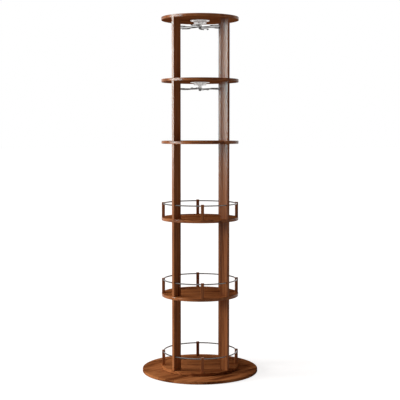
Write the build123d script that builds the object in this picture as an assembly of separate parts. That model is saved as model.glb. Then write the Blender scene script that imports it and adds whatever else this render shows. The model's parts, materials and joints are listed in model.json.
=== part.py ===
"""Rotating tower for bottles and stemware: round walnut shelves on radial uprights, turning on a wide base.

Millimetres, +Z up. The origin is on the floor under the axis of the tower. -Y is the front.
"""
from build123d import *
from math import asin, cos, degrees, pi, radians, sin
import os

# Boards
board_thickness = 15.0
base_radius = 300.0
shelf_radius = 200.0
rim_round = 2.0
edge_round = 1.0

# Levels: the clear heights between one shelf and the next, from the turntable up
pad_height = 2.0
turntable_gap = 1.5
lowest_tier_height = 363.5
bottle_tier_height = 381.0
glass_tier_height = 302.0
tier_clear_heights = [
    lowest_tier_height, bottle_tier_height, bottle_tier_height, glass_tier_height, glass_tier_height,
]
railed_tiers = 3

# Bays: four to a tier, named by their middles, with an upright at each end
bay_angles = {"front": -90.0, "right": 0.0, "back": 90.0, "left": 180.0}
half_bay = 45.0

# Uprights: radial boards, four to a tier
upright_width = 50.0
upright_thickness = 15.0
upright_setback = 1.0

# Rail posts and rods round the bottle trays
post_width = 16.0
post_height = 78.0
post_setback = 1.5
post_turn = 2.25
rod_diameter = 6.5
rod_below_post_top = 7.0
rod_end_depth = 6.0

# Fits
slip_fit = 0.05
seat_gap = 0.3

# Dowels between the uprights and the shelves
dowel_diameter = 8.0
dowel_spacing = 24.0
dowel_depth = 18.0
dowel_blind_depth = 10.0
dowel_chamfer = 0.8
hole_end_gap = 0.5

# Countersunk screws that hold the uprights to the turntable and the posts to their trays
frame_screw_diameter = 4.0
frame_screw_head_diameter = 8.0
frame_screw_length = 35.0

# Ball bearing between the base and the turntable, inside the screws of the lowest uprights
bearing_to_screw_gap = 5.8
bearing_ring_gap = 2.4
bearing_ring_width = 20.0
bearing_recess = 4.0
bearing_end_gap = 1.0
ball_diameter = 4.0
ball_count = 24
cage_wall = 1.6
cage_height = 6.5
ball_pocket_play = 0.1
bearing_screw_count = 6
bearing_screw_diameter = 3.5
bearing_screw_head_diameter = 7.0
bearing_screw_grip = 7.5
access_hole_radius = 5.0

# Feet
pad_radius = 20.0
pad_circle_radius = 255.0
pad_count = 6

# Hanging racks for stemware
rack_plate_radius = 50.0
rack_plate_thickness = 3.0
rack_plate_screw_circle = 41.0
rack_plate_screw_count = 4
rack_plate_screw_diameter = 3.5
rack_plate_screw_head_diameter = 7.0
rack_plate_screw_length = 13.0
pivot_bolt_diameter = 8.0
pivot_head_radius = 9.0
pivot_head_thickness = 2.5
hub_radius = 33.0
hub_depth = 13.0
hub_edge_round = 4.0
neck_radius = 10.0
spigot_radius = 8.0
rack_plane_drop = 34.5
collar_radius = 15.0
collar_height = 5.0
nut_radius = 7.5
nut_height = 8.0
nut_dome_wall = 2.0
wire_diameter = 4.0
spoke_diameter = 4.6
loop_count = 6
loop_turn = 16.0
loop_centre_radius = 102.0
loop_inside_radius = 22.5
mouth_width = 14.0
mouth_bend_radius = 8.0
mouth_flare = 45.0


def level_heights():
    """Undersides of the turntable and of the five discs above it, from the bottom up."""
    undersides = [pad_height + board_thickness + turntable_gap]
    for clear in tier_clear_heights:
        undersides.append(undersides[-1] + board_thickness + clear)
    return undersides


undersides = level_heights()
tops = [z + board_thickness for z in undersides]
base_top = pad_height + board_thickness
disc_names = ["turntable_disc", "lower_bottle_tray", "upper_bottle_tray", "middle_shelf", "glass_shelf", "top_disc"]
rack_levels = {"lower_glass_rack": undersides[4], "upper_glass_rack": undersides[5]}

upright_angles = {
    "front_right": bay_angles["front"] + half_bay,
    "back_right": bay_angles["right"] + half_bay,
    "back_left": bay_angles["back"] + half_bay,
    "front_left": bay_angles["left"] + half_bay,
}
upright_outer_radius = shelf_radius - upright_setback
upright_middle_radius = upright_outer_radius - upright_width / 2
post_middle_radius = shelf_radius - post_setback - post_width / 2
rod_radius = rod_diameter / 2


def turned(shape, angle):
    """The shape swung round the tower's axis."""
    return Rot(0, 0, angle) * shape


def at(shape, radius, angle, z):
    """The shape carried out to a radius, lifted, and swung round the tower's axis."""
    return turned(Pos(radius, 0, z) * shape, angle)


def column(radius, bottom, top):
    """A round bar or hole along Z between two heights."""
    return Pos(0, 0, bottom) * Cylinder(radius, top - bottom, align=(Align.CENTER, Align.CENTER, Align.MIN))


def block(length, width, height):
    """A box that stands on its own origin."""
    return Box(length, width, height, align=(Align.CENTER, Align.CENTER, Align.MIN))


def ring(inner, outer, bottom, top):
    """A flat ring between two heights."""
    return column(outer, bottom, top) - column(inner, bottom, top)


def joined(solids):
    """Several solids kept apart in one sub-part."""
    return Compound(children=list(solids))


def countersunk_screw(diameter, head_diameter, length):
    """A screw with its flat head at the origin, pointing up, with a tapered tip."""
    shank, head = diameter / 2, head_diameter / 2
    cone_height = head - shank
    tip_height = diameter
    profile = Polyline(
        (0, 0), (head, 0), (shank, cone_height), (shank, length - tip_height), (shank / 4, length), (0, length), (0, 0)
    )
    return revolve(make_face(Plane.XZ * profile), axis=Axis.Z)


def screw_hole(diameter, head_diameter, length):
    """The room that a countersunk screw needs, open at its head."""
    shank, head = diameter / 2 + slip_fit, head_diameter / 2 + slip_fit
    cone_height = head - shank
    profile = Polyline(
        (0, -slip_fit), (head, -slip_fit), (head, 0), (shank, cone_height), (shank, length + hole_end_gap),
        (0, length + hole_end_gap), (0, -slip_fit),
    )
    return revolve(make_face(Plane.XZ * profile), axis=Axis.Z)


def frame_screw():
    return countersunk_screw(frame_screw_diameter, frame_screw_head_diameter, frame_screw_length)


def frame_screw_hole():
    return screw_hole(frame_screw_diameter, frame_screw_head_diameter, frame_screw_length)


def bearing_screw_length():
    return bearing_ring_height() + bearing_screw_grip


def bearing_ring_height():
    return 2 * bearing_recess + turntable_gap - bearing_end_gap


# Places that repeat


def upright_pin_radii():
    """Where two dowels or screws enter each upright."""
    return [upright_middle_radius - dowel_spacing / 2, upright_middle_radius + dowel_spacing / 2]


def upright_pin_places():
    return [(radius, angle) for angle in upright_angles.values() for radius in upright_pin_radii()]


def post_places():
    return [(post_middle_radius, angle + post_turn) for angle in bay_angles.values()]


def bearing_screw_angles():
    return [360.0 / bearing_screw_count * k for k in range(bearing_screw_count)]


bearing_outer_radius = min(upright_pin_radii()) - frame_screw_head_diameter / 2 - bearing_to_screw_gap
outer_ring_middle = bearing_outer_radius - bearing_end_gap - bearing_ring_width / 2
bearing_pitch_radius = outer_ring_middle - bearing_ring_width / 2 - bearing_ring_gap / 2
inner_ring_middle = bearing_pitch_radius - bearing_ring_gap / 2 - bearing_ring_width / 2
bearing_floor = base_top - bearing_recess
bearing_ceiling = undersides[0] + bearing_recess
ball_height = (bearing_floor + bearing_ceiling) / 2


# Discs


def round_board(radius, underside):
    """A round board with softened rims."""
    disc = column(radius, underside, underside + board_thickness)
    rims = disc.edges().filter_by(GeomType.CIRCLE)
    return fillet(rims, min(rim_round, board_thickness / 3))


def bearing_groove(bottom, top):
    """Room for both bearing rings, cut into the boards above and below them."""
    inner = inner_ring_middle - bearing_ring_width / 2 - bearing_end_gap
    return ring(inner, bearing_outer_radius, bottom, top)


def base_disc():
    disc = round_board(base_radius, pad_height) - bearing_groove(bearing_floor, base_top)
    length = bearing_screw_length()
    hole = Rot(180, 0, 0) * screw_hole(bearing_screw_diameter, bearing_screw_head_diameter, length)
    head_height = bearing_floor + bearing_ring_height()
    for angle in bearing_screw_angles():
        disc -= at(hole, outer_ring_middle, angle, head_height)
    return disc - at(column(access_hole_radius, 0, base_top), inner_ring_middle, 0, 0)


def turntable_disc():
    disc = round_board(shelf_radius, undersides[0]) - bearing_groove(undersides[0], bearing_ceiling)
    hole = screw_hole(bearing_screw_diameter, bearing_screw_head_diameter, bearing_screw_length())
    head_height = bearing_ceiling - bearing_ring_height()
    for angle in bearing_screw_angles():
        disc -= at(hole, inner_ring_middle, angle, head_height)
    for radius, angle in upright_pin_places() + post_places():
        disc -= at(frame_screw_hole(), radius, angle, undersides[0])
    return disc


def upper_disc(level):
    """A tray or shelf above the turntable, with its dowel holes and, where it has posts, their screw holes."""
    underside, top = undersides[level], tops[level]
    is_top = level == len(undersides) - 1
    disc = round_board(shelf_radius, underside)
    hole_radius = dowel_diameter / 2 + slip_fit
    hole_top = underside + dowel_blind_depth + hole_end_gap if is_top else top
    for radius, angle in upright_pin_places():
        disc -= at(column(hole_radius, underside, hole_top), radius, angle, 0)
    if level < railed_tiers:
        for radius, angle in post_places():
            disc -= at(frame_screw_hole(), radius, angle, underside)
    if underside in rack_levels.values():
        disc -= column(pivot_head_radius + slip_fit, underside, underside + pivot_head_thickness + hole_end_gap)
        for angle in rack_screw_angles():
            disc -= at(rack_screw_hole(), rack_plate_screw_circle, angle, underside - rack_plate_thickness)
    return disc


# Uprights and dowels


def upright(tier, angle):
    """One radial board between two discs, bored for its dowels, screws and rods."""
    bottom, top = tops[tier], undersides[tier + 1]
    board = block(upright_width, upright_thickness, top - bottom)
    board = fillet(board.edges().filter_by(Axis.Z), min(edge_round, upright_thickness / 4))
    board = at(board, upright_middle_radius, 0, bottom)
    hole_radius = dowel_diameter / 2 + slip_fit
    hole_depth = dowel_depth + hole_end_gap
    for radius in upright_pin_radii():
        board -= at(column(hole_radius, top - hole_depth, top), radius, 0, 0)
        if tier:
            board -= at(column(hole_radius, bottom, bottom + hole_depth), radius, 0, 0)
        else:
            board -= at(frame_screw_hole(), radius, 0, undersides[0])
    if tier < railed_tiers:
        sockets = rod_arc(rod_radius + slip_fit, rod_end_depth + hole_end_gap)
        for bay in (-half_bay, half_bay):
            board -= Pos(0, 0, rod_height(tier)) * turned(sockets, bay)
    return turned(board, angle)


def dowel(bottom, top):
    pin = column(dowel_diameter / 2, bottom, top)
    return chamfer(pin.edges().filter_by(GeomType.CIRCLE), dowel_chamfer)


def upright_dowels():
    """Beech pins through each shelf into the boards above and below, and blind ones under the top disc."""
    pins = []
    for level in range(1, len(undersides)):
        is_top = level == len(undersides) - 1
        top = undersides[level] + dowel_blind_depth if is_top else tops[level] + dowel_depth
        pin = dowel(undersides[level] - dowel_depth, top)
        pins += [at(pin, radius, angle, 0) for radius, angle in upright_pin_places()]
    return joined(pins)


# Rails


def rod_height(tier):
    return tops[tier] + post_height - rod_below_post_top


def rod_half_angle(end_depth):
    """From the middle of a bay to a rod's end, inside the side of an upright."""
    face = degrees(asin(upright_thickness / 2 / post_middle_radius))
    return half_bay - face + degrees(end_depth / post_middle_radius)


def rod_arc(radius, end_depth):
    """A bent rod centred on +X at height zero, from one upright to the next."""
    half = rod_half_angle(end_depth)
    section = Plane.XZ * Pos(post_middle_radius, 0) * Circle(radius)
    return turned(revolve(section, axis=Axis.Z, revolution_arc=2 * half), -half)


def rail_rods(tier):
    rod = Pos(0, 0, rod_height(tier)) * rod_arc(rod_radius, rod_end_depth)
    return joined(turned(rod, angle) for angle in bay_angles.values())


def rail_post(tier, angle):
    """A short square post with a cross hole for the rod and a pilot hole for its screw."""
    post = block(post_width, post_width, post_height)
    edges = post.edges().filter_by(Axis.Z) + post.edges().group_by(Axis.Z)[-1]
    post = fillet(edges, min(edge_round, post_width / 4))
    post = at(post, post_middle_radius, post_turn, tops[tier])
    post -= Pos(0, 0, rod_height(tier)) * rod_arc(rod_radius + slip_fit, 0)
    post -= at(frame_screw_hole(), post_middle_radius, post_turn, undersides[tier])
    return turned(post, angle)


def frame_screws():
    """The screws from below: two into each lowest upright and one into each rail post."""
    screw = frame_screw()
    screws = [at(screw, radius, angle, undersides[0]) for radius, angle in upright_pin_places()]
    for tier in range(railed_tiers):
        screws += [at(screw, radius, angle, undersides[tier]) for radius, angle in post_places()]
    return joined(screws)


# Base bearing


def ball_groove():
    section = Plane.XZ * Pos(bearing_pitch_radius, ball_height) * Circle(ball_diameter / 2 + slip_fit)
    return revolve(section, axis=Axis.Z)


def bearing_ring(middle_radius, bottom, head_at_top):
    """One flat steel ring, grooved for the balls and countersunk for its screws."""
    top = bottom + bearing_ring_height()
    plate = ring(middle_radius - bearing_ring_width / 2, middle_radius + bearing_ring_width / 2, bottom, top)
    plate -= ball_groove()
    hole = screw_hole(bearing_screw_diameter, bearing_screw_head_diameter, bearing_screw_length())
    placed = Pos(0, 0, top) * Rot(180, 0, 0) * hole if head_at_top else Pos(0, 0, bottom) * hole
    for angle in bearing_screw_angles():
        plate -= at(placed, middle_radius, angle, 0)
    return plate


def bearing_lower_ring():
    return bearing_ring(outer_ring_middle, bearing_floor, True)


def bearing_upper_ring():
    return bearing_ring(inner_ring_middle, bearing_ceiling - bearing_ring_height(), False)


def bearing_screw():
    return countersunk_screw(bearing_screw_diameter, bearing_screw_head_diameter, bearing_screw_length())


def bearing_lower_screws():
    screw = Rot(180, 0, 0) * bearing_screw()
    head_height = bearing_floor + bearing_ring_height()
    return joined(at(screw, outer_ring_middle, angle, head_height) for angle in bearing_screw_angles())


def bearing_upper_screws():
    head_height = bearing_ceiling - bearing_ring_height()
    return joined(at(bearing_screw(), inner_ring_middle, angle, head_height) for angle in bearing_screw_angles())


def ball_angles():
    return [360.0 / ball_count * k for k in range(ball_count)]


def bearing_balls():
    ball = Sphere(ball_diameter / 2)
    return joined(at(ball, bearing_pitch_radius, angle, ball_height) for angle in ball_angles())


def bearing_cage():
    """A thin ring between the bearing rings, with a pocket for each ball."""
    inner, outer = bearing_pitch_radius - cage_wall / 2, bearing_pitch_radius + cage_wall / 2
    cage = ring(inner, outer, ball_height - cage_height / 2, ball_height + cage_height / 2)
    pocket = Rot(0, 90, 0) * Cylinder(ball_diameter / 2 + ball_pocket_play, ball_diameter)
    for angle in ball_angles():
        cage -= at(pocket, bearing_pitch_radius, angle, ball_height)
    return cage


def foot_pads():
    pad = column(pad_radius, 0, pad_height)
    return joined(at(pad, pad_circle_radius, 360.0 / pad_count * (k + 0.5), 0) for k in range(pad_count))


# Stemware racks, each described downwards from the shelf that carries it

hub_top = -rack_plate_thickness - seat_gap
hub_bottom = hub_top - hub_depth
collar_top = -rack_plane_drop + collar_height / 2
collar_bottom = collar_top - collar_height
nut_top = collar_bottom - seat_gap
bolt_radius = pivot_bolt_diameter / 2


def rack_screw_angles():
    return [360.0 / rack_plate_screw_count * (k + 0.5) for k in range(rack_plate_screw_count)]


def rack_screw_hole():
    return screw_hole(rack_plate_screw_diameter, rack_plate_screw_head_diameter, rack_plate_screw_length)


def rack_plate():
    """The fixed ceiling plate, with a hole for the pivot bolt and countersunk screw holes."""
    plate = column(rack_plate_radius, -rack_plate_thickness, 0)
    lower_rim = plate.edges().filter_by(GeomType.CIRCLE).group_by(Axis.Z)[0]
    plate = fillet(lower_rim, min(edge_round, rack_plate_thickness / 3))
    plate -= column(bolt_radius + slip_fit, -rack_plate_thickness, 0)
    for angle in rack_screw_angles():
        plate -= at(rack_screw_hole(), rack_plate_screw_circle, angle, -rack_plate_thickness)
    return plate


def pivot_bolt():
    """The fixed bolt that the rack turns on, its thin head held between the plate and the shelf."""
    thread_end = nut_top - nut_height + nut_dome_wall + hole_end_gap
    return column(bolt_radius, thread_end, 0) + column(pivot_head_radius, 0, pivot_head_thickness)


def retaining_nut():
    """A domed nut under the hub, on the end of the pivot bolt."""
    dome = column(nut_radius, nut_top - nut_height, nut_top)
    lower_rim = dome.edges().filter_by(GeomType.CIRCLE).group_by(Axis.Z)[0]
    dome = fillet(lower_rim, min(nut_radius, nut_height) * 0.6)
    return dome - column(bolt_radius + slip_fit, nut_top - nut_height + nut_dome_wall, nut_top)


def rack_hub():
    """The turning hub: a flat drum, a neck below it and a spigot that carries the wires."""
    drum = column(hub_radius, hub_bottom, hub_top)
    lower_rim = drum.edges().filter_by(GeomType.CIRCLE).group_by(Axis.Z)[0]
    drum = fillet(lower_rim, min(hub_edge_round, hub_depth / 2))
    hub = drum + column(neck_radius, collar_top, hub_bottom) + column(spigot_radius, collar_bottom, collar_top)
    return hub - column(bolt_radius + slip_fit, collar_bottom, hub_top)


def rack_wires():
    """A collar with radial spokes, each ending in an open loop that takes the stem of a glass."""
    wire_radius = wire_diameter / 2
    loop_radius = loop_inside_radius + wire_radius
    spoke_end = loop_centre_radius - loop_radius
    spoke_start = (spigot_radius + collar_radius) / 2
    spoke_length = spoke_end - spoke_start
    spoke = Pos(spoke_start + spoke_length / 2, 0) * Rot(0, 90, 0) * Cylinder(spoke_diameter / 2, spoke_length)
    bend = mouth_bend_radius + wire_radius
    reach = loop_radius + bend
    tangent_angle = asin((mouth_width / 2 + wire_radius + bend) / reach)
    centre = (loop_centre_radius, 0)
    bend_centre = (loop_centre_radius + reach * cos(tangent_angle), reach * sin(tangent_angle))
    half_turn = degrees(pi)
    half = Arc(centre, loop_radius, degrees(tangent_angle), half_turn)
    flare = Arc(bend_centre, bend, half_turn + degrees(tangent_angle), 1.5 * half_turn + mouth_flare)
    one_side = half.wire(wire_radius) + flare.wire(wire_radius) + flare.tip(wire_radius)
    arm = spoke + one_side + mirror(one_side, about=Plane.XZ)
    collar = ring(spigot_radius + slip_fit, collar_radius, -collar_height / 2, collar_height / 2)
    for k in range(loop_count):
        collar += turned(arm, loop_turn + 360.0 / loop_count * k)
    return Pos(0, 0, -rack_plane_drop) * collar


class Arc:
    """A round wire bent to an arc in the rack's plane, between two angles about its centre."""

    def __init__(self, centre, radius, start, end):
        self.centre, self.radius, self.start, self.end = centre, radius, start, end

    def wire(self, wire_radius):
        section = Plane.XZ * Pos(self.radius, 0) * Circle(wire_radius)
        bent = revolve(section, axis=Axis.Z, revolution_arc=self.end - self.start)
        return Pos(*self.centre) * turned(bent, self.start)

    def tip(self, wire_radius):
        angle = radians(self.end)
        x, y = self.centre
        return Pos(x + self.radius * cos(angle), y + self.radius * sin(angle)) * Sphere(wire_radius)


def at_racks(shape):
    """The same fitting at both racks, as separate solids."""
    return joined(Pos(0, 0, z) * shape for z in rack_levels.values())


def rack_plate_screws():
    screw = countersunk_screw(rack_plate_screw_diameter, rack_plate_screw_head_diameter, rack_plate_screw_length)
    screws = [at(screw, rack_plate_screw_circle, angle, -rack_plate_thickness) for angle in rack_screw_angles()]
    return joined(Pos(0, 0, z) * screw for z in rack_levels.values() for screw in screws)


# All sub-parts by name


def all_parts():
    parts = {
        "base_disc": base_disc(),
        "foot_pads": foot_pads(),
        "bearing_lower_ring": bearing_lower_ring(),
        "bearing_lower_screws": bearing_lower_screws(),
        "bearing_balls": bearing_balls(),
        "bearing_cage": bearing_cage(),
        "bearing_upper_ring": bearing_upper_ring(),
        "bearing_upper_screws": bearing_upper_screws(),
        "turntable_disc": turntable_disc(),
        "upright_dowels": upright_dowels(),
        "frame_screws": frame_screws(),
        "rack_pivot_bolts": at_racks(pivot_bolt()),
        "rack_retaining_nuts": at_racks(retaining_nut()),
        "rack_plate_screws": rack_plate_screws(),
    }
    for level, name in enumerate(disc_names):
        if level:
            parts[name] = upper_disc(level)
    for tier in range(len(tier_clear_heights)):
        for side, angle in upright_angles.items():
            parts[f"tier_{tier + 1}_upright_{side}"] = upright(tier, angle)
    for tier in range(railed_tiers):
        parts[f"tier_{tier + 1}_rail_rods"] = rail_rods(tier)
        for side, angle in bay_angles.items():
            parts[f"tier_{tier + 1}_rail_post_{side}"] = rail_post(tier, angle)
    for name, z in rack_levels.items():
        parts[f"{name}_plate"] = Pos(0, 0, z) * rack_plate()
        parts[f"{name}_hub"] = Pos(0, 0, z) * rack_hub()
        parts[f"{name}_wires"] = Pos(0, 0, z) * rack_wires()
    return parts


os.makedirs("parts", exist_ok=True)
for part_name, part_shape in all_parts().items():
    export_step(part_shape, f"parts/{part_name}.step")
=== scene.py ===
"""Finishes and studio for a turning tower of round walnut shelves, railed trays and glass racks.

Lengths are in metres and +Z is up, in the same frame as the CAD: the origin is on the floor under
the tower's axis, and -Y is the front.
"""
import json

import bmesh
import bpy
from bpy.props import FloatProperty, FloatVectorProperty, PointerProperty
from math import cos, pi, radians, sin, tan
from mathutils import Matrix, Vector
from typing import NamedTuple

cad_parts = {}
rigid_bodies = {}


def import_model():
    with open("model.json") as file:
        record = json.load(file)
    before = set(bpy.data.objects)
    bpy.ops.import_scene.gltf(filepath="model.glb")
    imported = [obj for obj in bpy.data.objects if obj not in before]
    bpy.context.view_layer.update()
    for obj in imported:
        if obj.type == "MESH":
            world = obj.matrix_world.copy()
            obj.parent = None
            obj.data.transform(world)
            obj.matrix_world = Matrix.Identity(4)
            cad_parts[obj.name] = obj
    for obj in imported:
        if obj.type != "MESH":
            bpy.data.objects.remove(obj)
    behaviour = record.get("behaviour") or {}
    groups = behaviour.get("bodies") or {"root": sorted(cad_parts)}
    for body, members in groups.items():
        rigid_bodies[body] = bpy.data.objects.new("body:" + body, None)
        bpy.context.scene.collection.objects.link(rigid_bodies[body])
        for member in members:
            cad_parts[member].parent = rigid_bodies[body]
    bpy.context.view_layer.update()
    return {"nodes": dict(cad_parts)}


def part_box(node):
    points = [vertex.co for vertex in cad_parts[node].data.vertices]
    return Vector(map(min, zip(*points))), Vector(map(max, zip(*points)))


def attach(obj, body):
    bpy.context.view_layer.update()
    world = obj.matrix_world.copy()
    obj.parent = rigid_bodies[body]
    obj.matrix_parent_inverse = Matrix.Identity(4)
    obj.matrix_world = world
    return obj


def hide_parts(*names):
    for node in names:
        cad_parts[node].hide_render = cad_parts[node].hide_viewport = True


bl_info = {
    "name": "Rotating Bottle Tower",
    "version": (1, 0, 0),
    "blender": (4, 5, 0),
    "location": "3D View > Sidebar > Bottle Tower",
    "description": "Finishes the wood, rails and racks of a rotating bottle tower, and its studio",
    "category": "Object",
}

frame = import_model()
cad = frame["nodes"]

# Parts of the CAD's node names
SIDES = ("front_left", "front_right", "back_left", "back_right")
POST_SIDES = ("front", "right", "back", "left")
TIERS = (1, 2, 3, 4, 5)
RAILED_TIERS = (1, 2, 3)

# Each rack's nodes start with the first name, and its body has the second
RACKS = (("lower_glass_rack", "lower_rack"), ("upper_glass_rack", "upper_rack"))

# The round boards that turn, from the bottom up, each with the turn of its grain in degrees
SHELVES = (
    ("turntable_disc", -5),
    ("lower_bottle_tray", 3),
    ("upper_bottle_tray", -2),
    ("middle_shelf", 6),
    ("glass_shelf", -4),
    ("top_disc", 2),
)


# Settings


class WalnutSettings(bpy.types.PropertyGroup):
    light_streak: FloatVectorProperty(
        name="Light streak", description="Palest colour of the walnut",
        subtype="COLOR", min=0, max=1, default=(0.46, 0.172, 0.06))
    heartwood: FloatVectorProperty(
        name="Heartwood", description="Main colour of the walnut",
        subtype="COLOR", min=0, max=1, default=(0.345, 0.12, 0.039))
    dark_streak: FloatVectorProperty(
        name="Dark streak", description="Darkest colour of the walnut",
        subtype="COLOR", min=0, max=1, default=(0.15, 0.043, 0.013))
    ring_spacing: FloatProperty(
        name="Ring spacing", description="Distance from one growth ring to the next",
        unit="LENGTH", min=0.001, default=0.011)
    stave_width: FloatProperty(
        name="Stave width", description="Width of the boards glued side by side into each shelf",
        unit="LENGTH", min=0.02, default=0.095)
    edge_gloss: FloatProperty(
        name="Edge gloss", description="Specular level of the lacquer on rims, uprights and posts",
        subtype="FACTOR", min=0, max=1, default=0.07)
    face_gloss: FloatProperty(
        name="Face gloss", description="Specular level of the oiled faces of the shelves",
        subtype="FACTOR", min=0, max=1, default=0.0)
    edge_roughness: FloatProperty(
        name="Edge roughness", description="Roughness of the lacquer",
        subtype="FACTOR", min=0, max=1, default=0.18)
    face_roughness: FloatProperty(
        name="Face roughness", description="Roughness of the oiled faces",
        subtype="FACTOR", min=0, max=1, default=0.6)


class MetalSettings(bpy.types.PropertyGroup):
    rail: FloatVectorProperty(
        name="Rail rods", description="Colour of the dark nickel rail rods",
        subtype="COLOR", min=0, max=1, default=(0.14, 0.13, 0.125))
    chrome: FloatVectorProperty(
        name="Rack wire", description="Colour of the chromed rack wire",
        subtype="COLOR", min=0, max=1, default=(0.13, 0.125, 0.12))
    satin: FloatVectorProperty(
        name="Rack hub", description="Colour of the satin nickel plates and hubs",
        subtype="COLOR", min=0, max=1, default=(0.85, 0.85, 0.84))
    weld_size: FloatProperty(
        name="Weld size", description="How far a weld stands out from the rack wire",
        unit="LENGTH", min=0.0002, default=0.0009)
    recess_depth: FloatProperty(
        name="Recess depth", description="Depth of a screw's cross recess, in radii of its head",
        subtype="FACTOR", min=0.1, max=0.6, default=0.42)


class StudioSettings(bpy.types.PropertyGroup):
    camera_distance: FloatProperty(
        name="Camera distance", description="From the tower's axis to the camera",
        unit="LENGTH", default=5.053)
    camera_height: FloatProperty(
        name="Camera height", description="Above the floor",
        unit="LENGTH", default=1.2562)
    camera_aim: FloatProperty(
        name="Aim height", description="Height on the axis that the camera looks at",
        unit="LENGTH", default=0.9795)
    camera_turn: FloatProperty(
        name="Camera turn", description="Turn of the camera to the left of straight in front",
        subtype="ANGLE", default=radians(1.45))
    lens: FloatProperty(
        name="Lens", description="Focal length in millimetres on a 36 mm sensor",
        unit="CAMERA", default=87.65)
    lens_drop: FloatProperty(
        name="Lens drop", description="Shift of the lens down, as a share of the picture's width",
        subtype="FACTOR", min=0, max=1, default=0.04)
    key_strength: FloatProperty(
        name="Key strength", description="Strength of the distant light from the left",
        min=0, default=2.5)
    key_height: FloatProperty(
        name="Key elevation", description="Elevation of the distant light",
        subtype="ANGLE", default=radians(12))
    key_softness: FloatProperty(
        name="Key softness", description="Apparent size of the distant light",
        subtype="ANGLE", default=radians(18))
    top_strength: FloatProperty(
        name="Top strength", description="Strength of the soft light from above",
        min=0, default=1.5)
    top_height: FloatProperty(
        name="Top elevation", description="Elevation of the soft light from above",
        subtype="ANGLE", default=radians(68))
    top_softness: FloatProperty(
        name="Top softness", description="Apparent size of the soft light from above",
        subtype="ANGLE", default=radians(50))
    panel_power: FloatProperty(
        name="Panel power", description="Power of the wide panel that shows in the lacquer",
        unit="POWER", min=0, default=6240)
    fill: FloatVectorProperty(
        name="Fill", description="Colour of the weak light from all round",
        subtype="COLOR", min=0, max=1, default=(0.102, 0.073, 0.06))


# Shader building

# The sockets of a Mix node that are in use when it mixes colours
MIX_FACTOR, MIX_FIRST, MIX_SECOND, MIX_RESULT = 0, 6, 7, 2

# Nearly all values of a noise lie between these
USUAL_NOISE = (0.3, 0.7)


class Pattern(NamedTuple):
    """A noise: its scale along X, Y and Z per metre, and how finely and strongly it breaks up."""

    scale: tuple
    detail: float = 2.0
    roughness: float = 0.5


class Finish:
    """A material, and the nodes that its surface is built from."""

    def __init__(self, name):
        self.material = bpy.data.materials.new(name)
        self.material.use_nodes = True
        self.tree = self.material.node_tree
        self.tree.nodes.clear()
        self.surface = self.add("ShaderNodeBsdfPrincipled")
        output = self.add("ShaderNodeOutputMaterial")
        self.tree.links.new(self.surface.outputs[0], output.inputs["Surface"])

    def add(self, kind, inputs=(), **settings):
        """A new node. Its inputs are given by name or in order, as values or as sockets to link."""
        node = self.tree.nodes.new(kind)
        for key, value in settings.items():
            setattr(node, key, value)
        for key, value in inputs.items() if isinstance(inputs, dict) else enumerate(inputs):
            self.feed(node, key, value)
        return node

    def feed(self, node, key, value):
        if isinstance(value, bpy.types.NodeSocket):
            self.tree.links.new(value, node.inputs[key])
        else:
            node.inputs[key].default_value = value

    def maths(self, operation, *values, **settings):
        return self.add("ShaderNodeMath", values, operation=operation, **settings).outputs[0]

    def scaled(self, vector, factors):
        inputs = (vector, factors)
        return self.add("ShaderNodeVectorMath", inputs, operation="MULTIPLY").outputs[0]

    def length(self, x, y, z):
        inputs = [self.join(x, y, z)]
        return self.add("ShaderNodeVectorMath", inputs, operation="LENGTH").outputs["Value"]

    def position(self):
        return self.add("ShaderNodeTexCoord").outputs["Object"]

    def split(self, vector):
        return self.add("ShaderNodeSeparateXYZ", [vector]).outputs

    def join(self, x, y, z):
        return self.add("ShaderNodeCombineXYZ", [x, y, z]).outputs[0]

    def noise(self, place, pattern):
        inputs = {
            "Vector": self.scaled(place, pattern.scale), "Scale": 1.0,
            "Detail": pattern.detail, "Roughness": pattern.roughness,
        }
        return self.add("ShaderNodeTexNoise", inputs).outputs["Fac"]

    def remap(self, value, low, high, to_low=0.0, to_high=1.0):
        inputs = {
            "Value": value, "From Min": low, "From Max": high, "To Min": to_low, "To Max": to_high,
        }
        return self.add("ShaderNodeMapRange", inputs).outputs["Result"]

    def spread(self, noise, to_low=0.0, to_high=1.0):
        """The usual values of a noise, drawn out to run from one number to another."""
        return self.remap(noise, *USUAL_NOISE, to_low, to_high)

    def ramp(self, value, stops):
        node = self.add("ShaderNodeValToRGB", [value])
        while len(node.color_ramp.elements) < len(stops):
            node.color_ramp.elements.new(0.5)
        for element, (place, colour) in zip(node.color_ramp.elements, stops):
            element.position = place
            element.color = (*colour, 1.0)
        return node.outputs["Color"]

    def blend(self, factor, first, second):
        inputs = {MIX_FACTOR: factor, MIX_FIRST: first, MIX_SECOND: second}
        return self.add("ShaderNodeMix", inputs, data_type="RGBA").outputs[MIX_RESULT]

    def mottled(self, factor, colour, share):
        """The colour, down to that share of its brightness where the factor is low."""
        return self.blend(factor, darker(colour, share), (*colour, 1.0))

    def dress(self, **values):
        """Feeds the surface's inputs, named with underscores for spaces."""
        for key, value in values.items():
            self.feed(self.surface, key.replace("_", " "), value)

    def relief(self, height, depth, strength):
        inputs = {"Height": height, "Distance": depth, "Strength": strength}
        self.dress(Normal=self.add("ShaderNodeBump", inputs).outputs["Normal"])


def darker(colour, share):
    return (*(share * part for part in colour), 1.0)


# Wood

# Patterns in the log, where X lies along the grain, Y across it and Z through the board
WAVER = Pattern((1.6, 9.0, 9.0))
WIDE_FIGURE = Pattern((1.8, 22.0, 22.0), 3.0, 0.6)
BANDS = Pattern((4.0, 110.0, 110.0), 2.0, 0.6)
STREAKS = Pattern((1.4, 44.0, 44.0), 3.0, 0.6)
FIBRES = Pattern((22.0, 900.0, 900.0), 2.0, 0.6)
PORES = Pattern((130.0, 2300.0, 2300.0), 1.0)

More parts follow.
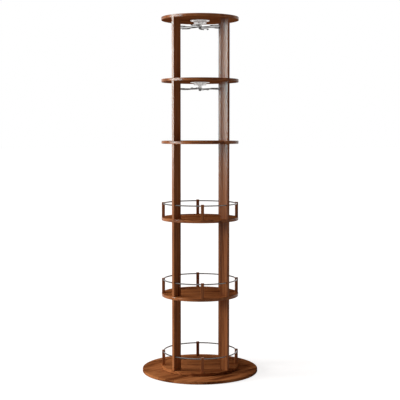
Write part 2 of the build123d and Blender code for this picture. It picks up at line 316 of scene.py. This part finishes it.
# A pattern that has the distance from the pith for its Y, so that it follows the rings
RING_FIGURE = Pattern((1.1, 62.0, 1.0), 4.0, 0.62)

# The noise values between which streaks, pores and fibres come in
STREAK_RANGE = (0.54, 0.68)
PORE_RANGE = (0.62, 0.74)
FIBRE_RANGE = (0.25, 0.75)

# How far staves lie apart in the log: along it, through it and across it, and how much lighter or
# darker they are
STAVE_ALONG = 4.0
STAVE_THROUGH = 0.06
STAVE_ACROSS = (-0.14, 0.04)
STAVE_SHADE = (-0.09, 0.09)

# A glue joint starts this far from a stave's middle, as a share of its width
JOINT_START = 0.4985
JOINT_SHARPNESS = 900.0

# Growth rings: the slope of the pith line, how far rings waver, and their dark latewood
PITH_SLOPE = 0.05
RING_WAVER = 0.09
LATEWOOD_POWER = 2.5
LATEWOOD_EDGE = (0.94, 1.0)

# Tone runs from dark wood at 0 to light wood at 1, and these are each pattern's part in it
WIDE_SHARE = 0.45
RING_SHARE = 0.55
MIDDLE_TONE = 0.38
FIGURE_TONE = 0.34
BAND_TONES = (-0.1, 0.3)
FIBRE_TONES = (-0.05, 0.13)
LATEWOOD_TONE = 0.24
STREAK_TONE = 0.34
HEARTWOOD_STOP = 0.42
LIGHT_STREAK_STOP = 0.95

# Pores and glue joints: their darkness next to a dark streak, and how far they cover the wood
CREVICE_SHADE = 0.45
PORE_COVER = 0.4
JOINT_COVER = 0.5

# Changes to the finish by its bands and pores, and the relief of its fibres
BAND_ROUGHNESS = (-0.03, 0.04)
PORE_ROUGHNESS = 0.06
FIBRE_RELIEF = 0.35
GRAIN_DEPTH = 0.00005
GRAIN_STRENGTH = 0.4

# Where each board is cut: the step along and across the log from one to the next, and the height
BOARD_ALONG = 0.7
BOARD_ACROSS = 0.011
BOARD_HEIGHT = 0.045
FIRST_SHELF_CUT = 2
BASE_CUT = 11
UPRIGHT_STEP = (0.37, 0.008, -0.012)
POST_STEP = (0.61, 0.013, 0.02)

# How the grain lies, and how strongly the boards are figured
BASE_GRAIN = radians(-39)
UPRIGHT_GRAIN = (0.0, radians(90), 0.0)
SHELF_FIGURING = 2.2
BASE_FIGURING = 3.0

# A face belongs to the rim when it lies this near the edge, and its normal's Z is under the tilt
RIM_DEPTH = 0.0024
RIM_TILT = 0.97


def glued_staves(finish, place, width):
    """The place, shade and glue joint of each stave, every one cut from another part of the log."""
    x, y, z = finish.split(place)
    across = finish.maths("DIVIDE", y, width)
    share = finish.maths("FRACT", across)
    stave = finish.maths("FLOOR", across)
    seed = finish.add("ShaderNodeTexWhiteNoise", {"W": stave}, noise_dimensions="1D")
    red, green, blue = finish.split(seed.outputs["Color"])
    x = finish.maths("ADD", x, finish.maths("MULTIPLY", red, STAVE_ALONG))
    y = finish.maths("ADD", finish.maths("MULTIPLY", share, width),
                     finish.remap(blue, 0.0, 1.0, *STAVE_ACROSS))
    z = finish.maths("ADD", z, finish.maths("MULTIPLY", green, STAVE_THROUGH))
    shade = finish.remap(blue, 0.0, 1.0, *STAVE_SHADE)
    from_middle = finish.maths("ABSOLUTE", finish.maths("SUBTRACT", share, 0.5))
    past_start = finish.maths("SUBTRACT", from_middle, JOINT_START)
    joint = finish.maths("MULTIPLY", past_start, JOINT_SHARPNESS, use_clamp=True)
    return finish.join(x, y, z), shade, joint


def growth_rings(finish, place, spacing):
    """The distance from a pith line that slopes through the board, and the rings' latewood."""
    x, y, z = finish.split(place)
    waver = finish.noise(place, WAVER)
    slope = finish.maths("MULTIPLY", x, PITH_SLOPE)
    height = finish.maths("ADD", finish.maths("ADD", z, slope),
                          finish.maths("MULTIPLY", waver, RING_WAVER))
    radius = finish.length(0.0, y, height)
    ring = finish.maths("FRACT", finish.maths("DIVIDE", radius, spacing))
    late = finish.maths("POWER", ring, LATEWOOD_POWER)
    edge = finish.remap(ring, *LATEWOOD_EDGE, 1.0, 0.0)
    return radius, finish.maths("MULTIPLY", late, edge)


def walnut(name, cut, turn, glued, gloss, roughness, figuring=1.0):
    """Walnut, oiled or lacquered by its gloss and roughness.

    The turn brings the grain onto local X, and the cut is the piece's place in the log. Figuring
    is how strongly light and dark wood alternate.
    """
    wood = bpy.context.scene.tower_walnut
    finish = Finish(name)
    mapping = finish.add(
        "ShaderNodeMapping", {"Vector": finish.position(), "Location": cut, "Rotation": turn})
    place = mapping.outputs["Vector"]
    if glued:
        place, shade, joint = glued_staves(finish, place, wood.stave_width)
    radius, latewood = growth_rings(finish, place, wood.ring_spacing)

    x, _, z = finish.split(place)
    wide = finish.noise(place, WIDE_FIGURE)
    ringed = finish.noise(finish.join(x, radius, z), RING_FIGURE)
    figure = finish.maths("ADD", finish.maths("MULTIPLY", wide, WIDE_SHARE),
                          finish.maths("MULTIPLY", ringed, RING_SHARE))
    bands = finish.noise(place, BANDS)
    streaks = finish.remap(finish.noise(place, STREAKS), *STREAK_RANGE)
    fibres = finish.noise(place, FIBRES)
    pores = finish.remap(finish.noise(place, PORES), *PORE_RANGE)

    swing = FIGURE_TONE * figuring
    tone = finish.spread(figure, MIDDLE_TONE - swing, MIDDLE_TONE + swing)
    tone = finish.maths("ADD", tone, finish.spread(bands, *BAND_TONES))
    tone = finish.maths("ADD", tone, finish.remap(fibres, *FIBRE_RANGE, *FIBRE_TONES))
    tone = finish.maths("SUBTRACT", tone, finish.maths("MULTIPLY", latewood, LATEWOOD_TONE))
    tone = finish.maths("SUBTRACT", tone, finish.maths("MULTIPLY", streaks, STREAK_TONE))
    if glued:
        tone = finish.maths("ADD", tone, shade)
    colour = finish.ramp(tone, [
        (0.0, wood.dark_streak), (HEARTWOOD_STOP, wood.heartwood),
        (LIGHT_STREAK_STOP, wood.light_streak)])
    crevice = darker(wood.dark_streak, CREVICE_SHADE)
    colour = finish.blend(finish.maths("MULTIPLY", pores, PORE_COVER), colour, crevice)
    if glued:
        colour = finish.blend(finish.maths("MULTIPLY", joint, JOINT_COVER), colour, crevice)

    smoother, rougher = BAND_ROUGHNESS
    rough = finish.maths("ADD", finish.spread(bands, roughness + smoother, roughness + rougher),
                         finish.maths("MULTIPLY", pores, PORE_ROUGHNESS))
    grain = finish.maths("SUBTRACT", finish.maths("MULTIPLY", fibres, FIBRE_RELIEF), pores)
    finish.relief(grain, GRAIN_DEPTH, GRAIN_STRENGTH)
    finish.dress(Base_Color=colour, Roughness=rough, Specular_IOR_Level=gloss)
    return finish.material


def dress_shelf(node, piece_name, body, cut, turn, rim_gloss, figuring):
    """A copy of the shelf in place of the plain one, with oiled faces and a lacquered rim."""
    wood = bpy.context.scene.tower_walnut
    low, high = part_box(node)
    place = (BOARD_ALONG * cut, BOARD_ACROSS * cut, BOARD_HEIGHT - (low.z + high.z) / 2)
    turned = (0.0, 0.0, turn)
    faces = walnut(f"walnut_{node}_face", place, turned, True,
                   wood.face_gloss, wood.face_roughness, figuring)
    rim = walnut(f"walnut_{node}_rim", place, turned, True,
                 rim_gloss, wood.edge_roughness, figuring)
    mesh = cad[node].data.copy()
    mesh.materials.clear()
    mesh.materials.append(faces)
    mesh.materials.append(rim)
    reach = high.x - RIM_DEPTH
    for face in mesh.polygons:
        outside = Vector(face.center[:2]).length > reach
        face.material_index = 1 if outside and abs(face.normal.z) < RIM_TILT else 0
    board = bpy.data.objects.new(piece_name, mesh)
    bpy.context.scene.collection.objects.link(board)
    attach(board, body)
    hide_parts(node)


def standing_walnut(name, step, tier):
    """Lacquered walnut with its grain upright. Each tier is a step further in the log."""
    wood = bpy.context.scene.tower_walnut
    cut = [part * tier for part in step]
    return walnut(name, cut, UPRIGHT_GRAIN, False, wood.edge_gloss, wood.edge_roughness)


def coat(names, material):
    """Puts one finish on CAD nodes, which come with one slot each."""
    for name in names:
        cad[name].material_slots[0].material = material


# Metal, plastic and beech

# Polished metal: soft smudges, and the fine marks of its polishing
SMUDGES = Pattern((38.0, 38.0, 38.0), 3.0)
SMUDGE_RANGE = (0.35, 0.65)
SMUDGE_SHADE = 0.9
POLISHING = Pattern((900.0, 900.0, 900.0), 1.0)
POLISHING_ROUGHNESS = (-0.01, 0.01)

# Turned metal: lines round the axis, under a faint haze
LATHE_LINES = Pattern((3200.0, 3200.0, 3200.0), 2.0, 0.7)
LATHE_SHADE = 0.88
LATHE_ROUGHNESS = 0.05
HAZE = Pattern((45.0, 45.0, 45.0))
HAZE_ROUGHNESS = (-0.02, 0.03)

# Moulded parts: the mould's fine grain, and soft patches of wear
MOULD_GRAIN = Pattern((1400.0, 1400.0, 1400.0))
MOULD_ROUGHNESS = 0.06
WEAR = Pattern((60.0, 60.0, 60.0))
WEAR_SHADE = 0.85

# The dowels stand upright, and so do their fibres
BEECH_FIBRES = Pattern((900.0, 900.0, 40.0))
BEECH_FLECKS = Pattern((1500.0, 1500.0, 260.0))
FLECK_RANGE = (0.6, 0.7)
FLECK_COVER = 0.5
BEECH_DARK = (0.56, 0.36, 0.19)
BEECH_LIGHT = (0.74, 0.53, 0.32)
BEECH_FLECK = (0.36, 0.2, 0.09, 1.0)
BEECH_ROUGHNESS = (0.55, 0.75)

# Colours of the small parts
RUBBER = (0.02, 0.02, 0.02)
GROUND_STEEL = (0.5, 0.5, 0.51)
BALL_STEEL = (0.6, 0.6, 0.61)
NYLON = (0.78, 0.77, 0.72)
ZINC = (0.55, 0.55, 0.53)


def polished_metal(name, colour, roughness, smudge):
    """Plated metal with faint smudges in its polish, which make it rougher by up to the smudge."""
    finish = Finish(name)
    place = finish.position()
    cloud = finish.noise(place, SMUDGES)
    fine = finish.noise(place, POLISHING)
    shade = finish.mottled(finish.remap(cloud, *SMUDGE_RANGE), colour, SMUDGE_SHADE)
    rough = finish.maths("ADD", finish.spread(cloud, roughness, roughness + smudge),
                         finish.spread(fine, *POLISHING_ROUGHNESS))
    finish.relief(fine, depth=0.00001, strength=0.5)
    finish.dress(Base_Color=shade, Metallic=1.0, Roughness=rough)
    return finish.material


def turned_metal(name, colour, roughness):
    """Satin metal brushed in circles round the tower's axis, as on a lathe."""
    finish = Finish(name)
    place = finish.position()
    x, y, z = finish.split(place)
    radius = finish.length(x, y, 0.0)
    lines = finish.noise(finish.join(radius, z, 0.0), LATHE_LINES)
    cloud = finish.noise(place, HAZE)
    shade = finish.mottled(finish.spread(lines), colour, LATHE_SHADE)
    rough = finish.maths(
        "ADD", finish.spread(lines, roughness - LATHE_ROUGHNESS, roughness + LATHE_ROUGHNESS),
        finish.spread(cloud, *HAZE_ROUGHNESS))
    finish.relief(lines, depth=0.00002, strength=0.4)
    finish.dress(Base_Color=shade, Metallic=1.0, Roughness=rough)
    return finish.material


def grainy_plastic(name, colour, roughness):
    """Moulded rubber or nylon with a fine even grain."""
    finish = Finish(name)
    place = finish.position()
    fine = finish.noise(place, MOULD_GRAIN)
    cloud = finish.noise(place, WEAR)
    shade = finish.mottled(finish.spread(cloud), colour, WEAR_SHADE)
    rough = finish.spread(fine, roughness - MOULD_ROUGHNESS, roughness + MOULD_ROUGHNESS)
    finish.relief(fine, depth=0.00005, strength=0.5)
    finish.dress(Base_Color=shade, Roughness=rough)
    return finish.material


def raw_beech(name):
    """Pale turned dowel with short flecks."""
    finish = Finish(name)
    place = finish.position()
    fibres = finish.noise(place, BEECH_FIBRES)
    flecks = finish.remap(finish.noise(place, BEECH_FLECKS), *FLECK_RANGE)
    dark, light = USUAL_NOISE
    shade = finish.ramp(fibres, [(dark, BEECH_DARK), (light, BEECH_LIGHT)])
    shade = finish.blend(finish.maths("MULTIPLY", flecks, FLECK_COVER), shade, BEECH_FLECK)
    finish.relief(fibres, depth=0.0001, strength=0.4)
    finish.dress(Base_Color=shade, Roughness=finish.spread(fibres, *BEECH_ROUGHNESS))
    return finish.material


# Welds and screws

# The wire racks, measured from each rack's own plane and axis
ARMS = 6
FIRST_ARM = 16.0
ARM_ANGLES = [radians(FIRST_ARM + 360.0 / ARMS * arm) for arm in range(ARMS)]
SPOKE_RADIUS = 0.0023
SPOKE_END = 0.0775
COLLAR_RADIUS = 0.015

# A weld's rows, from the axis outwards: the distance past the collar's or the spoke's end, and
# how far the weld stands out there, in weld sizes
COLLAR_WELD = (
    (-0.0008, 1.7), (0.0, 1.45), (0.0006, 1.0), (0.0013, 0.6), (0.0021, 0.25), (0.003, 0.06),
)
LOOP_WELD = (
    (-0.0048, 0.08), (-0.0038, 0.3), (-0.0028, 0.7), (-0.0018, 1.05), (-0.0008, 1.2),
    (0.0002, 1.0), (0.001, 0.45),
)

# A weld runs out inside the spoke, and the one at the loop closes inside the wire
WELD_SINK = 0.0002
COLLAR_WELD_END = 0.0038
LOOP_WELD_START = -0.0058
LOOP_WELD_TIP = (0.0016, 0.0012, 0.001)

# A weld is no taller than the collar, and flatter at the loop than it is wide
COLLAR_WELD_HEIGHT = 0.00245
LOOP_WELD_FLATNESS = 0.6

# The ripple of a weld's surface: its share of the size, its lobes and its turn per metre
WELD_SIDES = 20
WELD_RIPPLE = 0.03
WELD_LOBES = 5.0
WELD_TWIST = 900.0

# Cross recess: the reach and half width of an arm at the mouth and at the foot, in head radii
MOUTH_CROSS = (0.6, 0.15)
FOOT_CROSS = (0.38, 0.11)

# A face is flat when its normal's Z is over this, and points that lie nearer than this are one
FLAT = 0.999
SAME_PLACE = 1e-7

# Edges sharper than this stay hard
CREASE = radians(35)


def following(corners):
    """Each corner's neighbour in a closed ring."""
    return corners[1:] + corners[:1]


def new_piece(name, shape, body, material):
    """An object from a bmesh, riding on a body, with edges sharper than the crease left hard."""
    mesh = bpy.data.meshes.new(name)
    bmesh.ops.recalc_face_normals(shape, faces=shape.faces)
    shape.to_mesh(mesh)
    shape.free()
    mesh.polygons.foreach_set("use_smooth", [True] * len(mesh.polygons))
    mesh.set_sharp_from_angle(angle=CREASE)
    mesh.materials.append(material)
    piece = bpy.data.objects.new(name, mesh)
    bpy.context.scene.collection.objects.link(piece)
    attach(piece, body)
    return piece


def loft(shape, rings):
    """Skins closed rings of points, one after the other, and caps both ends."""
    rows = [[shape.verts.new(point) for point in ring] for ring in rings]
    for first, second in zip(rows, rows[1:]):
        for corners in zip(first, following(first), following(second), second):
            shape.faces.new(corners)
    shape.faces.new(reversed(rows[0]))
    shape.faces.new(rows[-1])


def weld(shape, profile, turn, height):
    """One weld round a spoke.

    Each row of the profile has the distance from the axis, half width, half height and ripple.
    """
    rings = []
    for out, wide, tall, ripple in profile:
        ring = []
        for side in range(WELD_SIDES):
            around = 2.0 * pi * side / WELD_SIDES
            swell = 1.0 + ripple * sin(WELD_LOBES * around + WELD_TWIST * out)
            across = wide * swell * cos(around)
            ring.append((out * cos(turn) - across * sin(turn), out * sin(turn) + across * cos(turn),
                         height + tall * swell * sin(around)))
        rings.append(ring)
    loft(shape, rings)


def collar_profile(size):
    """The weld where a spoke leaves the collar."""
    rows = []
    for out, swell in COLLAR_WELD:
        wide = SPOKE_RADIUS + size * swell
        rows.append((COLLAR_RADIUS + out, wide, min(wide, COLLAR_WELD_HEIGHT), WELD_RIPPLE))
    thin = SPOKE_RADIUS - WELD_SINK
    return [*rows, (COLLAR_RADIUS + COLLAR_WELD_END, thin, thin, 0.0)]


def loop_profile(size):
    """The weld where a spoke meets its loop."""
    rows = []
    for out, swell in LOOP_WELD:
        tall = SPOKE_RADIUS + LOOP_WELD_FLATNESS * size * swell
        rows.append((SPOKE_END + out, SPOKE_RADIUS + size * swell, tall, WELD_RIPPLE))
    thin = SPOKE_RADIUS - WELD_SINK
    out, wide, tall = LOOP_WELD_TIP
    tip = (SPOKE_END + out, wide, tall, 0.0)
    return [(SPOKE_END + LOOP_WELD_START, thin, thin, 0.0), *rows, tip]


def rack_welds(name, body, height, size, material):
    """Small welds where each spoke meets the collar and its loop."""
    shape = bmesh.new()
    for turn in ARM_ANGLES:
        weld(shape, collar_profile(size), turn, height)
        weld(shape, loop_profile(size), turn, height)
    piece = new_piece(name, shape, body, material)


def cross_corners(shape, middle, radius, reach, arm):
    """The twelve corners of a cross, anticlockwise. Its reach and half width are in radii."""
    quarter = [(reach, -arm), (reach, arm), (arm, arm)]
    outline = []
    for _ in range(4):
        outline += quarter
        quarter = [(-y, x) for x, y in quarter]
    return [shape.verts.new(middle + Vector((x * radius, y * radius, 0.0))) for x, y in outline]


def head_discs(shape, facing):
    """The flat head faces of all screws in a mesh, one list for each screw."""
    loose = dict.fromkeys(face for face in shape.faces if face.normal.z * facing > FLAT)
    discs = []
    while loose:
        first, _ = loose.popitem()
        disc = [first]
        for face in disc:
            for edge in face.edges:
                near = [other for other in edge.link_faces if other in loose]
                for other in near:
                    del loose[other]
                disc += near
        discs.append(disc)
    return discs


def cut_recess(shape, disc, facing, depth_share):
    """Sinks a tapered cross into one flat screw head."""
    edges = dict.fromkeys(edge for face in disc for edge in face.edges)
    rim = [edge for edge in edges if sum(face in disc for face in edge.link_faces) == 1]
    points = [vertex.co.copy() for vertex in dict.fromkeys(v for edge in rim for v in edge.verts)]
    middle = sum(points, Vector()) / len(points)
    radius = max((point - middle).length for point in points)
    bmesh.ops.delete(shape, geom=disc, context="FACES")
    rim = [edge for edge in rim if edge.is_valid]
    mouth = cross_corners(shape, middle, radius, *MOUTH_CROSS)
    sides = [shape.edges.new(ends) for ends in zip(mouth, following(mouth))]
    bmesh.ops.triangle_fill(shape, edges=rim + sides, use_beauty=True, normal=(0.0, 0.0, facing))
    below = middle - Vector((0.0, 0.0, facing * depth_share * radius))
    foot = cross_corners(shape, below, radius, *FOOT_CROSS)
    for corners in zip(mouth, following(mouth), following(foot), foot):
        shape.faces.new(corners)
    shape.faces.new(foot)


def recessed_screws(node, body, facing, material):
    """Screws with a cross recess in each head, in place of the node's plain ones."""
    shape = bmesh.new()
    shape.from_mesh(cad[node].data)
    bmesh.ops.remove_doubles(shape, verts=shape.verts, dist=SAME_PLACE)
    shape.normal_update()
    for disc in head_discs(shape, facing):
        cut_recess(shape, disc, facing, bpy.context.scene.tower_metal.recess_depth)
    piece = new_piece(node.replace("_screws", "_cross_screws"), shape, body, material)
    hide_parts(node)


# Studio

SENSOR_WIDTH = 36.0
FAR_CLIP = 200.0

# The distant lights come from this far to the left, and this far to the front
LIGHT_SIDE = 4.0
KEY_FRONT = 0.2
TOP_FRONT = 1.0

# The panel stands to the left and faces right
PANEL_PLACE = (-12.0, -3.3, 2.45)
PANEL_AIM = (0.0, -3.3, 2.45)
PANEL_WIDTH = 10.3
PANEL_HEIGHT = 3.3
PANEL_COLOUR = (0.72, 0.93, 0.97)

# The floor's lit grey and its glow add up to white
FLOOR_REACH = 60.0
FLOOR_GREY = (0.5, 0.5, 0.5, 1.0)
FLOOR_GLOW = 0.76
WHITE = (1.0, 1.0, 1.0, 1.0)


def white_for_the_eye(tree):
    """One where a ray comes from the camera or from a shiny or clear surface."""
    path = tree.nodes.new("ShaderNodeLightPath")
    total = path.outputs["Is Camera Ray"]
    for name in ("Is Glossy Ray", "Is Transmission Ray"):
        node = tree.nodes.new("ShaderNodeMath")
        node.operation = "MAXIMUM"
        tree.links.new(total, node.inputs[0])
        tree.links.new(path.outputs[name], node.inputs[1])
        total = node.outputs[0]
    return total


def pale_world(fill):
    """White to look at, and a weak even light on everything else."""
    world = bpy.data.worlds.new("studio_world")
    world.use_nodes = True
    tree = world.node_tree
    tree.nodes.clear()
    colour = tree.nodes.new("ShaderNodeMix")
    colour.data_type = "RGBA"
    colour.inputs[MIX_FIRST].default_value = (*fill, 1.0)
    colour.inputs[MIX_SECOND].default_value = WHITE
    tree.links.new(white_for_the_eye(tree), colour.inputs[MIX_FACTOR])
    background = tree.nodes.new("ShaderNodeBackground")
    tree.links.new(colour.outputs[MIX_RESULT], background.inputs["Color"])
    output = tree.nodes.new("ShaderNodeOutputWorld")
    tree.links.new(background.outputs[0], output.inputs["Surface"])
    bpy.context.scene.world = world


def floor_white():
    """A matt grey that glows for the eye, so that it looks white and still takes a shadow."""
    material = bpy.data.materials.new("studio_floor_white")
    material.use_nodes = True
    tree = material.node_tree
    tree.nodes.clear()
    matt = tree.nodes.new("ShaderNodeBsdfDiffuse")
    matt.inputs["Color"].default_value = FLOOR_GREY
    glow = tree.nodes.new("ShaderNodeEmission")
    strength = tree.nodes.new("ShaderNodeMapRange")
    strength.inputs["To Max"].default_value = FLOOR_GLOW
    tree.links.new(white_for_the_eye(tree), strength.inputs["Value"])
    tree.links.new(strength.outputs["Result"], glow.inputs["Strength"])
    both = tree.nodes.new("ShaderNodeAddShader")
    tree.links.new(matt.outputs[0], both.inputs[0])
    tree.links.new(glow.outputs[0], both.inputs[1])
    output = tree.nodes.new("ShaderNodeOutputMaterial")
    tree.links.new(both.outputs[0], output.inputs["Surface"])
    return material


def pale_floor():
    """A wide white floor that keeps a faint shadow."""
    mesh = bpy.data.meshes.new("studio_floor")
    shape = bmesh.new()
    bmesh.ops.create_grid(shape, x_segments=1, y_segments=1, size=FLOOR_REACH)
    shape.to_mesh(mesh)
    shape.free()
    mesh.materials.append(floor_white())
    floor = bpy.data.objects.new("studio_floor", mesh)
    bpy.context.scene.collection.objects.link(floor)


def turned_to(aim, place):
    """The turn of a lamp or camera at a place, so that it looks at the aim."""
    return (Vector(aim) - Vector(place)).to_track_quat("-Z", "Y").to_euler()


def lamp(name, kind, place, aim, **settings):
    data = bpy.data.lights.new(name, kind)
    for key, value in settings.items():
        setattr(data, key, value)
    light = bpy.data.objects.new(name, data)
    light.location = place
    light.rotation_euler = turned_to(aim, place)
    bpy.context.scene.collection.objects.link(light)
    return light


def distant_light(name, front, height, strength, softness):
    """A sun to the left of the tower, at a height above the horizon."""
    place = (-LIGHT_SIDE, -front, LIGHT_SIDE * tan(height))
    return lamp(name, "SUN", place, (0.0, 0.0, 0.0), energy=strength, angle=softness)


def lacquered_pieces():
    """The wooden pieces, gathered so that the panel shows in their lacquer and not in the metal."""
    wooden = bpy.data.collections.new("lacquered_wood")
    for piece in bpy.context.scene.objects:
        finishes = [slot.material.name for slot in piece.material_slots if slot.material]
        if any(name.startswith("walnut") for name in finishes):
            wooden.objects.link(piece)
    return wooden


def light_panel(power):
    """A wide panel that the lacquer mirrors, and that lights nothing else."""
    panel = lamp("wide_panel", "AREA", PANEL_PLACE, PANEL_AIM, color=PANEL_COLOUR, energy=power,
                 shape="RECTANGLE", size=PANEL_WIDTH, size_y=PANEL_HEIGHT)
    panel.visible_diffuse = False
    panel.light_linking.receiver_collection = lacquered_pieces()


def photo_camera(studio):
    """A camera in front of the tower, a little to the left, that looks slightly down."""
    data = bpy.data.cameras.new("photo_camera")
    data.lens = studio.lens
    data.sensor_width = SENSOR_WIDTH
    data.shift_y = -studio.lens_drop
    data.clip_end = FAR_CLIP
    camera = bpy.data.objects.new("photo_camera", data)
    camera.location = (-studio.camera_distance * sin(studio.camera_turn),
                       -studio.camera_distance * cos(studio.camera_turn), studio.camera_height)
    camera.rotation_euler = turned_to((0.0, 0.0, studio.camera_aim), camera.location)
    bpy.context.scene.collection.objects.link(camera)
    return camera


# Operators


class TOWER_OT_base(bpy.types.Operator):
    """Dress the wide base board and its rubber feet"""

    bl_idname = "tower.base"
    bl_label = "Base and feet"

    def execute(self, context):
        dress_shelf("base_disc", "base_board", "base", BASE_CUT, BASE_GRAIN,
                    context.scene.tower_walnut.face_gloss, BASE_FIGURING)
        coat(["foot_pads"], grainy_plastic("foot_rubber_matt", RUBBER, roughness=0.75))
        return {"FINISHED"}


class TOWER_OT_bearing(bpy.types.Operator):
    """Finish the ball bearing between the base and the turntable"""

    bl_idname = "tower.bearing"
    bl_label = "Turning bearing"

    def execute(self, context):
        steel = turned_metal("ground_steel", GROUND_STEEL, roughness=0.32)
        coat(["bearing_lower_ring", "bearing_upper_ring"], steel)
        balls = polished_metal("ball_steel", BALL_STEEL, roughness=0.06, smudge=0.05)
        coat(["bearing_balls"], balls)
        coat(["bearing_cage"], grainy_plastic("cage_nylon", NYLON, roughness=0.5))
        zinc = polished_metal("zinc_plate", ZINC, roughness=0.3, smudge=0.08)
        recessed_screws("bearing_lower_screws", "base", 1.0, zinc)
        recessed_screws("bearing_upper_screws", "cabinet", -1.0, zinc)
        return {"FINISHED"}


class TOWER_OT_shelves(bpy.types.Operator):
    """Dress the turntable, the trays, the shelves and the top disc"""

    bl_idname = "tower.shelves"
    bl_label = "Trays and shelves"

    def execute(self, context):
        wood = context.scene.tower_walnut
        for cut, (node, turn) in enumerate(SHELVES, start=FIRST_SHELF_CUT):
            rim_gloss = wood.face_gloss if node == "turntable_disc" else wood.edge_gloss
            dress_shelf(node, node.rsplit("_", 1)[0] + "_board", "cabinet", cut, radians(turn),
                        rim_gloss, SHELF_FIGURING)
        return {"FINISHED"}


class TOWER_OT_uprights(bpy.types.Operator):
    """Finish the radial uprights, with the grain upright and each tier from its own boards"""

    bl_idname = "tower.uprights"
    bl_label = "Uprights"

    def execute(self, context):
        for tier in TIERS:
            material = standing_walnut(f"walnut_upright_tier_{tier}", UPRIGHT_STEP, tier)
            coat([f"tier_{tier}_upright_{side}" for side in SIDES], material)
        return {"FINISHED"}


class TOWER_OT_rails(bpy.types.Operator):
    """Finish the rail posts and the bent rods round the trays"""

    bl_idname = "tower.rails"
    bl_label = "Rails"

    def execute(self, context):
        metal = context.scene.tower_metal
        rods = polished_metal("dark_nickel", metal.rail, roughness=0.2, smudge=0.06)
        for tier in RAILED_TIERS:
            material = standing_walnut(f"walnut_post_tier_{tier}", POST_STEP, tier)
            coat([f"tier_{tier}_rail_post_{side}" for side in POST_SIDES], material)
            coat([f"tier_{tier}_rail_rods"], rods)
        return {"FINISHED"}


class TOWER_OT_racks(bpy.types.Operator):
    """Finish the glass racks and weld their wires"""

    bl_idname = "tower.racks"
    bl_label = "Glass racks"

    def execute(self, context):
        metal = context.scene.tower_metal
        chrome = polished_metal("rack_chrome_wire", metal.chrome, roughness=0.07, smudge=0.06)
        satin = turned_metal("rack_satin_nickel", metal.satin, roughness=0.34)
        coat(["rack_retaining_nuts"], chrome)
        for node, body in RACKS:
            coat([f"{node}_wires"], chrome)
            coat([f"{node}_plate", f"{node}_hub"], satin)
            low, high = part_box(f"{node}_wires")
            rack_welds(f"{body}_welds", body, (low.z + high.z) / 2, metal.weld_size, chrome)
        return {"FINISHED"}


class TOWER_OT_fastenings(bpy.types.Operator):
    """Finish the dowels, screws and pivot bolts"""

    bl_idname = "tower.fastenings"
    bl_label = "Fastenings"

    def execute(self, context):
        coat(["upright_dowels"], raw_beech("beech_dowel"))
        zinc = polished_metal("screw_zinc", ZINC, roughness=0.28, smudge=0.08)
        for node in ("frame_screws", "rack_plate_screws"):
            recessed_screws(node, "cabinet", -1.0, zinc)
        coat(["rack_pivot_bolts"], zinc)
        return {"FINISHED"}


class TOWER_OT_studio(bpy.types.Operator):
    """Set up the floor, the background, the lights and the camera"""

    bl_idname = "tower.studio"
    bl_label = "Studio"

    def execute(self, context):
        studio = context.scene.tower_studio
        context.scene.view_settings.view_transform = "Standard"
        pale_world(studio.fill)
        pale_floor()
        key = distant_light("distant_key", KEY_FRONT, studio.key_height,
                            studio.key_strength, studio.key_softness)
        key.visible_glossy = False
        distant_light("top_light", TOP_FRONT, studio.top_height,
                      studio.top_strength, studio.top_softness)
        light_panel(studio.panel_power)
        context.scene.camera = photo_camera(studio)
        return {"FINISHED"}


STEPS = (
    TOWER_OT_base, TOWER_OT_bearing, TOWER_OT_shelves, TOWER_OT_uprights, TOWER_OT_rails,
    TOWER_OT_racks, TOWER_OT_fastenings, TOWER_OT_studio,
)


class TOWER_PT_sidebar(bpy.types.Panel):
    """Everything that dresses the tower, in order"""

    bl_idname = "TOWER_PT_sidebar"
    bl_label = "Bottle Tower"
    bl_space_type = "VIEW_3D"
    bl_region_type = "UI"
    bl_category = "Bottle Tower"

    def draw(self, context):
        layout = self.layout
        for step in STEPS:
            layout.operator(step.bl_idname)
        scene = context.scene
        for group in (scene.tower_walnut, scene.tower_metal, scene.tower_studio):
            box = layout.box()
            for key in group.__annotations__:
                box.prop(group, key)


CLASSES = (WalnutSettings, MetalSettings, StudioSettings, *STEPS, TOWER_PT_sidebar)


def register():
    for kind in CLASSES:
        bpy.utils.register_class(kind)
    bpy.types.Scene.tower_walnut = PointerProperty(type=WalnutSettings)
    bpy.types.Scene.tower_metal = PointerProperty(type=MetalSettings)
    bpy.types.Scene.tower_studio = PointerProperty(type=StudioSettings)


def unregister():
    del bpy.types.Scene.tower_studio
    del bpy.types.Scene.tower_metal
    del bpy.types.Scene.tower_walnut
    for kind in reversed(CLASSES):
        bpy.utils.unregister_class(kind)


def main():
    register()
    for step in STEPS:
        group, name = step.bl_idname.split(".")
        getattr(getattr(bpy.ops, group), name)()


if __name__ == "__main__":
    main()
